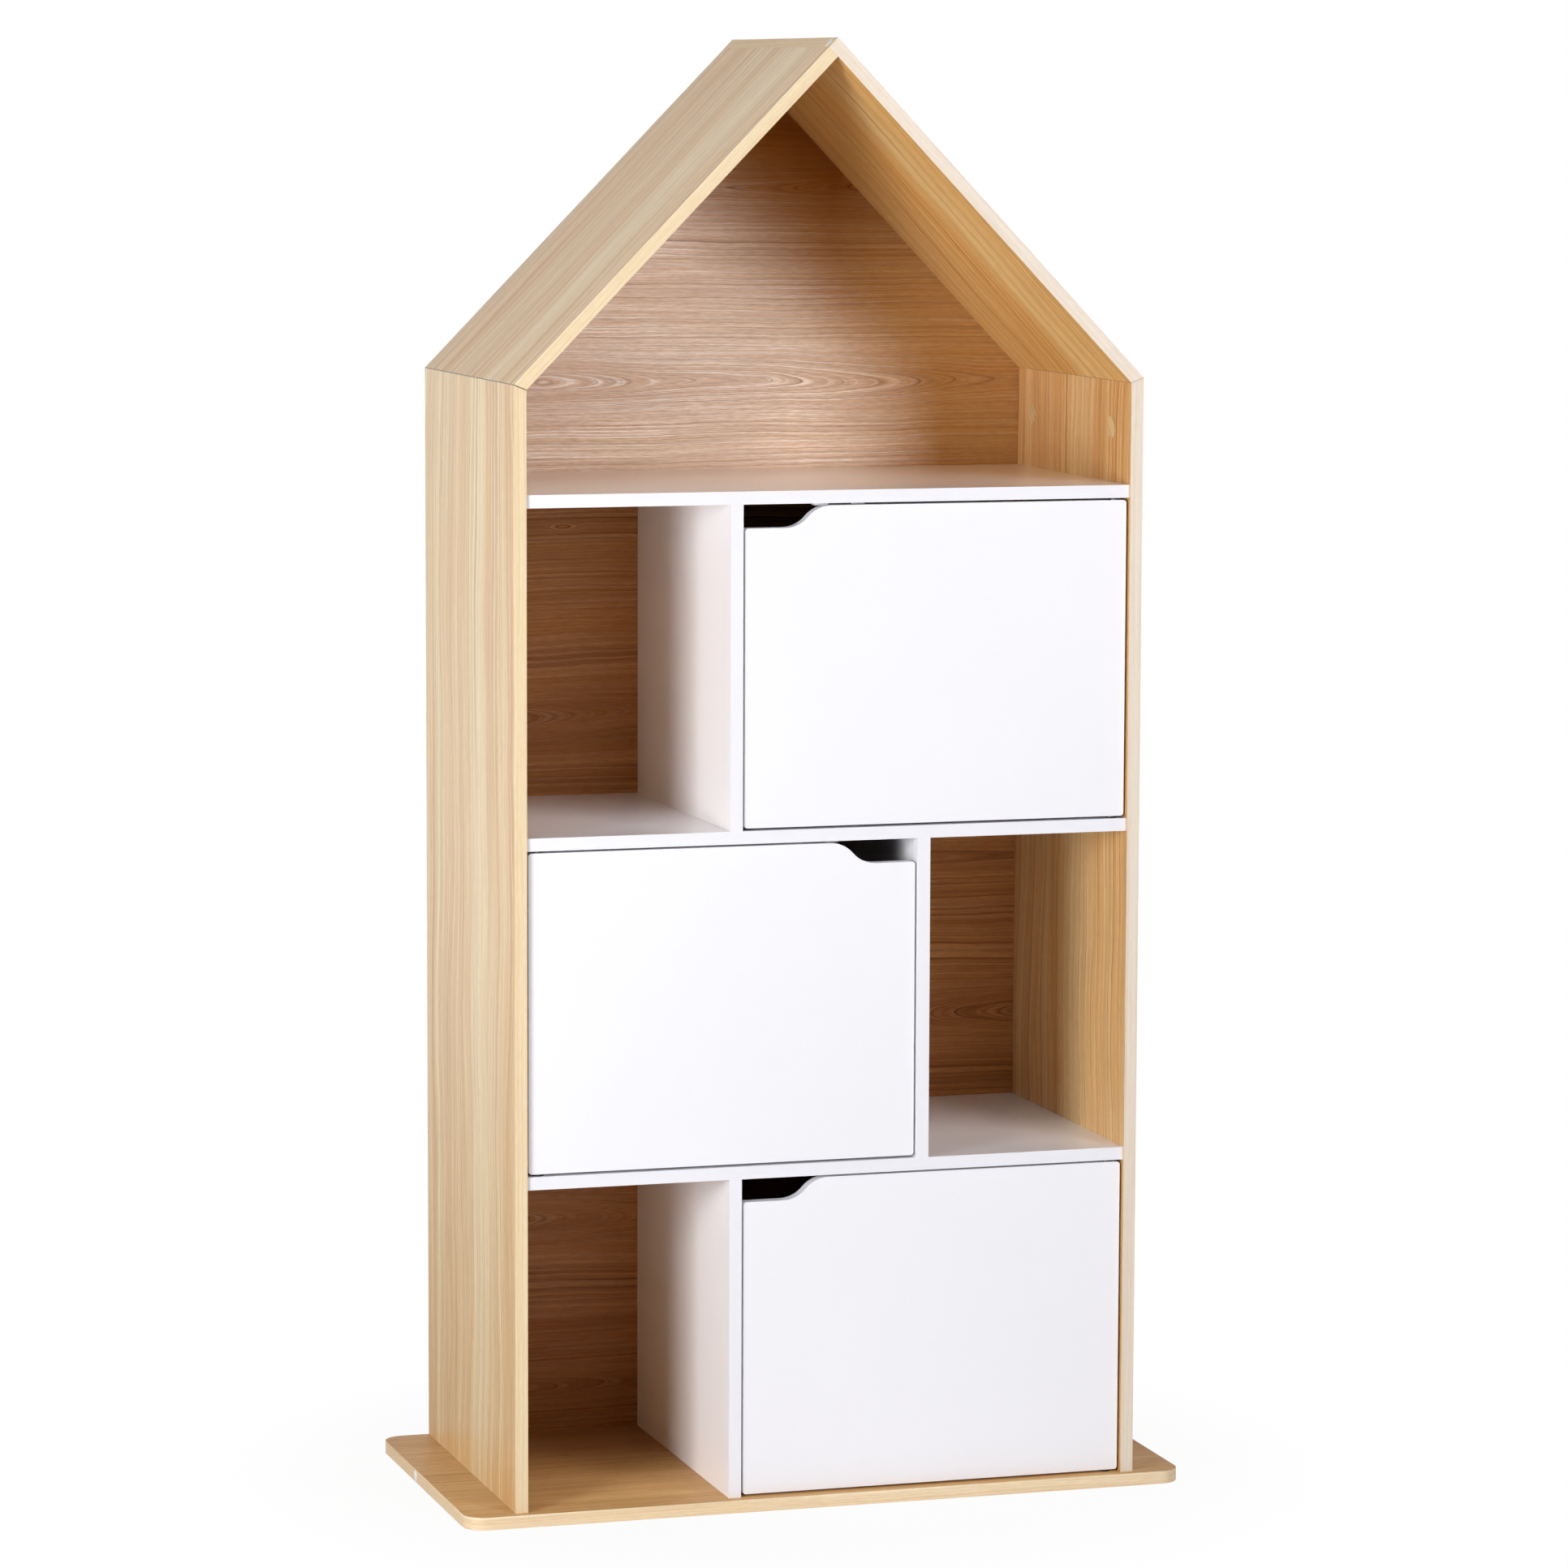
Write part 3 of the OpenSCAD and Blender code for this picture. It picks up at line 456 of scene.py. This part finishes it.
for node, up_slope, outward, band_foil, seed, eaves in (
        ("left_roof_panel", LEFT_UP, LEFT_OUT, BAND_LEFT, 5.0, EAVES_LEFT),
        ("right_roof_panel", RIGHT_UP, RIGHT_OUT, BAND_RIGHT, 7.0, EAVES_RIGHT)):
    outer = wood("outer_" + node, up_slope, Y, seed=seed, joints=[eaves], **ROOF_OUTER)
    inner = wood("inner_" + node, up_slope, Y, seed=seed, joints=[eaves], **ROOF_INNER)
    band = wood("band_" + node, up_slope, outward, band_foil, seed=seed + 3, joints=[eaves], **BAND_LOOK)
    end = wood("end_" + node, Y, outward, ROOF_END, seed=seed + 4, **BAND_LOOK)
    bevel(dress(node, [outer, inner, band, end], house_board_slots(outward)))

# ---------------------------------------------------------------- base board
BASE_HEARTS = [(0.05, -0.4, 0.06, 0.018, 0), (-0.11, 0.2, 0.05, 0.016, 0)]
# painted shade: the base darkens rearwards inside the unit and beyond the right side panel, standing in
# for the shadow there; its shine dims there too
BASE_SHADE = [(0.60, [(Y, -0.13, 0.08), (X, -0.305, -0.288)]), (0.32, [(X, 0.27, 0.31)])]
# its band is straight, and the whitish streak along its upper edge is a painted highlight of the rounded
# edge
BASE_BAND_LOOK = dict(palette=BASE_BAND, hearts=[(0.03, 0.0, 0.004, 0.01, 0)],
                      pale=[(0.0112, 0.0016, 0.9)], ring=0.0030, wave=0.25)

base_face = wood("maple_base", X, Y, BASE, BASE_HEARTS, line=0.85, seed=3.0, wave=0.9, spec=0.16,
                 rough=0.44, shade=BASE_SHADE)
base_band = wood("band_base", X, Z, seed=4.0, **BASE_BAND_LOOK)
base_end = wood("band_base_end", Y, Z, seed=6.0, **BASE_BAND_LOOK)
bevel(dress("base_board", [base_face, base_band, base_end], base_slots), 0.0009, 3)

# --------------------------------------------------------------- back panels
# Here a heart's place across is its height. Painted shade: the lower back darkens towards the floor, and
# the gable up under the roof and to the right, where shadow falls.
LOWER_HEARTS = [(0.896, -0.167, 0.8, 0.008, 0), (0.717, -0.29, 0.20, 0.042, 0),
                (0.408, 0.30, 0.30, 0.036, 0), (0.225, -0.285, 0.24, 0.042, 0),
                (0.060, -0.21, 0.26, 0.026, 0), (0.560, 0.05, 0.08, 0.020, 0)]
LOWER_SHADE = [(0.28, [(Z, 0.34, 0.06)])]
GABLE_HEARTS = [(1.037, -0.197, 0.155, 0.048, 0), (1.037, 0.278, 0.15, 0.048, 0.05),
                (1.222, 0.16, 0.12, 0.040, 0)]
GABLE_SHADE = [(0.90, [((0.55, 0, 1), 1.122, 1.312), (X, 0.22, 0.10)]), (0.36, [(X, 0.06, 0.22)])]
REAR_HEARTS = [(0.980, -0.15, 0.12, 0.030, 0), (0.520, 0.20, 0.12, 0.030, 0),
               (0.150, -0.10, 0.12, 0.030, 0)]
BACK_LOOK = dict(wave=0.6, tight=0.35, rough=0.42, fine=1.35, ior=2.8, loose=0.05, soft=0.65)

lower_face = wood("maple_lower_back_panel", X, Z, LOWER_BACK_SHADED, LOWER_HEARTS, ring=0.0075, line=0.90,
                  seed=11.0, spec=0.10, shade=LOWER_SHADE, **BACK_LOOK)
gable_face = wood("maple_gable_back_panel", X, Z, GABLE_BACK, GABLE_HEARTS, ring=0.0060, line=0.78,
                  seed=14.0, spec=0.64, shade=GABLE_SHADE, stretch=[(-0.08, 0.03, 0.08)], **BACK_LOOK)
for node, face, seed in (("lower_back_panel", lower_face, 12.0), ("gable_back_panel", gable_face, 15.0)):
    edge = wood("band_" + node, X, Y, BAND_LEFT, seed=seed, **BAND_LOOK)
    rear = wood("rear_" + node, X, Z, SIDE, REAR_HEARTS, ring=0.0060, line=0.7, seed=17.0, wave=0.8)
    bevel(dress(node, [face, edge, rear], back_slots))

# -------------------------------------------------------------- white boards
white_edge = melamine("white_edge", (235, 234, 240), rough=0.40, shade=2)
white_shelf = melamine("white_board", (250, 249, 254), rough=0.16, spec=0.30, press=0.05)
white_divider = melamine("white_divider", (252, 251, 255), rough=0.18, shade=2, spec=0.12, press=0.05)
white_door = melamine("white_door", (239, 238, 243), rough=0.42, shade=2)
LEVELS = ("top", "middle", "lower")
for level in LEVELS:
    for kind, face, axis in (
            ("shelf", white_shelf, Z), ("divider", white_divider, X), ("door", white_door, Y)):
        bevel(dress(level + "_" + kind, [face, white_edge], two_faces(axis)), 0.0003)

# ----------------------------------------------------------------- fittings
SMALL_GRAIN = [(0.0, 0.0, 0.02, 0.002, 0)]      # nearly straight lines on the small round pieces
CAP_ALONG, CAP_ACROSS = (0.0, 0.62, 0.78), (0.0, 0.78, -0.62)       # aslant to the boards' grain

steel = metal("zinc_steel", (196, 197, 200), 0.3)
pin_steel = metal("pin_steel", (150, 150, 154), 0.34)
yellow_zinc = metal("yellow_zinc", (206, 182, 116), 0.34)
FITTINGS = {
    "pivot_bushes": plastic("black_nylon", (26, 26, 28), 0.45),
    "catch_housings": plastic("white_nylon", (238, 238, 238), 0.38),
    "catch_magnets": metal("magnet_ferrite", (70, 70, 74), 0.45),
    "catch_screws": steel,
    "cam_locks": metal("cast_zinc", (176, 178, 182), 0.42),
    "cam_bolts": steel,
    "eaves_bolts": steel,
    "grain_cover_caps": wood("cap_grain", CAP_ALONG, CAP_ACROSS, SIDE, SMALL_GRAIN, ring=0.0040,
                             line=0.75, seed=9.0, wave=0.2),
    "white_cover_caps": plastic("cap_white", (240, 240, 240), 0.5),
    "dowels": wood("beech", Y, Z, BEECH, SMALL_GRAIN, ring=0.0012, line=0.3, seed=21.0, wave=0.1),
    "base_screws": yellow_zinc,
    "back_screws": yellow_zinc,
    "label_dots": plastic("label_paper", (246, 246, 246), 0.6, 900.0),
}
for level in LEVELS:
    FITTINGS[level + "_door_pins"] = pin_steel
    FITTINGS[level + "_door_strike"] = steel
    FITTINGS[level + "_door_strike_screw"] = steel
for node, material in FITTINGS.items():
    dress(node, [material])

# ------------------------------------------------------------------- camera
# fitted to the edges of the boards in the photo: place in metres, directions in the frame's axes
PHOTO_WIDTH = 1932.0            # pixels
FOCAL_LENGTH = 7297.09          # pixels
SENSOR_WIDTH = 36.0             # millimetres
CAMERA_PLACE = (-1.6337, -5.34298, 1.31890)
CAMERA_RIGHT = (0.95618401, -0.29274655, 0.00340588)
CAMERA_AHEAD = (0.29111887, 0.94950646, -0.11699266)


def photo_camera():
    """Camera that sees the object as the photo does."""
    data = bpy.data.cameras.new("camera")
    data.sensor_fit = "HORIZONTAL"
    data.sensor_width = SENSOR_WIDTH
    data.lens = FOCAL_LENGTH / PHOTO_WIDTH * SENSOR_WIDTH
    data.clip_end = 100.0
    camera = bpy.data.objects.new("camera", data)
    scene.collection.objects.link(camera)
    right = Vector(CAMERA_RIGHT).normalized()
    ahead = Vector(CAMERA_AHEAD).normalized()
    up = right.cross(ahead).normalized()
    turn = Matrix((right, up, -ahead)).transposed()
    camera.matrix_world = Matrix.Translation(Vector(CAMERA_PLACE)) @ turn.to_4x4()
    return camera


scene.camera = photo_camera()

# -------------------------------------------------------------------- floor
FLOOR_GREY = 0.86               # linear reflectance
FLOOR_RADII = (1.2, 4.0, 14.0)
FLOOR_CORNERS = 48
FLOOR_DROP = 0.0004             # the floor lies a hair under the base board
SHADOW_NEAR, SHADOW_FAR = 0.30, 0.55    # how far out the shadow starts to fade, and has gone
SHADOW_WHITE = 0.93             # share of plain white in the floor where the shadow is
DIM_ROOM = 0.06                 # how bright the mirrored floor and room in front are
WHITE_FROM, WHITE_AT = 0.4, 3.0         # places rearwards between which it turns white in mirrors


def stage_material(name):
    """Pale floor that keeps a soft shadow near the object and is white far off."""
    t = Tree(name)
    t.nt.nodes.remove(t.bsdf)
    matt = t.nt.nodes.new("ShaderNodeBsdfDiffuse")
    matt.inputs[0].default_value = (FLOOR_GREY, FLOOR_GREY, FLOOR_GREY, 1)
    white = t.nt.nodes.new("ShaderNodeEmission")
    white.inputs[0].default_value = WHITE
    white.inputs[1].default_value = 1.0
    path = t.nt.nodes.new("ShaderNodeLightPath")
    looked_at = t.math("MAXIMUM", path.outputs["Is Camera Ray"], path.outputs["Is Transmission Ray"])
    seen = t.times(looked_at, t.span(t.length(t.pos()), SHADOW_NEAR, SHADOW_FAR, SHADOW_WHITE, 1.0))
    behind = t.span(t.dot(t.pos(), Y), WHITE_FROM, WHITE_AT, DIM_ROOM, 1.0)
    shine = t.times(path.outputs["Is Glossy Ray"], behind)
    mixer = t.nt.nodes.new("ShaderNodeMixShader")
    t.put(mixer.inputs[0], t.plus(seen, shine))
    t.put(mixer.inputs[1], matt.outputs[0])
    t.put(mixer.inputs[2], white.outputs[0])
    t.put(t.out.inputs[0], mixer.outputs[0])
    return t.mat


def floor_disc():
    """Round floor: a ring of triangles in the middle and rings of quads outside it."""
    n = FLOOR_CORNERS
    verts = [(0.0, 0.0, 0.0)]
    for radius in FLOOR_RADII:
        for k in range(n):
            a = 2 * math.pi * k / n
            verts.append((radius * math.cos(a), radius * math.sin(a), 0.0))
    faces = [(0, 1 + k, 1 + (k + 1) % n) for k in range(n)]
    for start in range(1, 1 + n * (len(FLOOR_RADII) - 1), n):
        for k in range(n):
            after = (k + 1) % n
            faces.append((start + k, start + n + k, start + n + after, start + after))
    mesh = bpy.data.meshes.new("floor")
    mesh.from_pydata(verts, [], faces)
    mesh.materials.append(stage_material("pale_floor"))
    disc = bpy.data.objects.new("floor", mesh)
    disc.location = (0, 0, -FLOOR_DROP)
    scene.collection.objects.link(disc)
    return disc


floor = floor_disc()


# -------------------------------------------------------------------- light
AMBIENT = 0.03
ROOM_FRONT, ROOM_BACK = -0.30, 0.15     # slants rearwards between which the room turns white


def studio_world():
    """White backdrop behind the object, a dim room in front of it and a little
    ambient light. Only rays that look or glance off see the backdrop."""
    world = bpy.data.worlds.new("studio")
    world.use_nodes = True
    nt = world.node_tree
    nt.nodes.clear()

    def background(strength):
        n = nt.nodes.new("ShaderNodeBackground")
        n.inputs[0].default_value = WHITE
        n.inputs[1].default_value = strength
        return n

    def blend(share, first, second):
        n = nt.nodes.new("ShaderNodeMixShader")
        for socket, node in zip(n.inputs, (share, first.outputs[0], second.outputs[0])):
            nt.links.new(node, socket)
        return n

    coord = nt.nodes.new("ShaderNodeTexCoord")
    split = nt.nodes.new("ShaderNodeSeparateXYZ")
    nt.links.new(coord.outputs["Generated"], split.inputs[0])
    depth = nt.nodes.new("ShaderNodeMapRange")
    depth.inputs["From Min"].default_value = ROOM_FRONT
    depth.inputs["From Max"].default_value = ROOM_BACK
    depth.inputs["To Min"].default_value = DIM_ROOM
    depth.inputs["To Max"].default_value = 1.0
    nt.links.new(split.outputs["Y"], depth.inputs["Value"])
    room = background(1.0)
    nt.links.new(depth.outputs[0], room.inputs[1])

    path = nt.nodes.new("ShaderNodeLightPath")
    seen = nt.nodes.new("ShaderNodeMath")
    seen.operation = "MAXIMUM"
    nt.links.new(path.outputs["Is Camera Ray"], seen.inputs[0])
    nt.links.new(path.outputs["Is Transmission Ray"], seen.inputs[1])
    glance = blend(path.outputs["Is Glossy Ray"], background(AMBIENT), room)
    last = blend(seen.outputs[0], glance, background(1.0))
    out = nt.nodes.new("ShaderNodeOutputWorld")
    nt.links.new(last.outputs[0], out.inputs[0])
    return world


def softbox(name, azimuth, distance, height, aim, width, tall, power):
    """Soft rectangular lamp at an azimuth in degrees from straight in front, + to the right,
    that looks at a height over the floor's middle. Backdrop lamps aren't mirrored."""
    a = math.radians(azimuth)
    data = bpy.data.lights.new(name, "AREA")
    data.shape = "RECTANGLE"
    data.size = width
    data.size_y = tall
    data.energy = power
    lamp = bpy.data.objects.new(name, data)
    scene.collection.objects.link(lamp)
    lamp.location = (distance * math.sin(a), -distance * math.cos(a), height)
    lamp.rotation_euler = (Vector((0, 0, aim)) - lamp.location).to_track_quat("-Z", "Y").to_euler()
    lamp.visible_camera = False
    lamp.visible_glossy = not name.endswith("backdrop")


# name, azimuth in degrees, then distance, height, aim, width and tallness in metres, power in watts
LAMPS = (("left_softbox", -53.0, 3.2, 0.90, 0.66, 1.05, 1.24, 78.0),
         ("right_softbox", 27.0, 3.4, 1.50, 0.85, 1.10, 1.5, 41.0),
         ("top_softbox", 5.0, 1.7, 3.10, 0.50, 1.6, 1.0, 18.0),
         ("left_backdrop", -115.0, 3.4, 1.00, 0.75, 2.0, 2.0, 10.0),
         ("right_backdrop", 108.0, 3.4, 0.62, 0.75, 1.6, 1.2, 30.0),
         ("rear_backdrop", 160.0, 3.4, 0.75, 0.75, 2.0, 1.6, 26.0))

scene.world = studio_world()
for lamp in LAMPS:
    softbox(*lamp)

scene.view_settings.view_transform = "Standard"
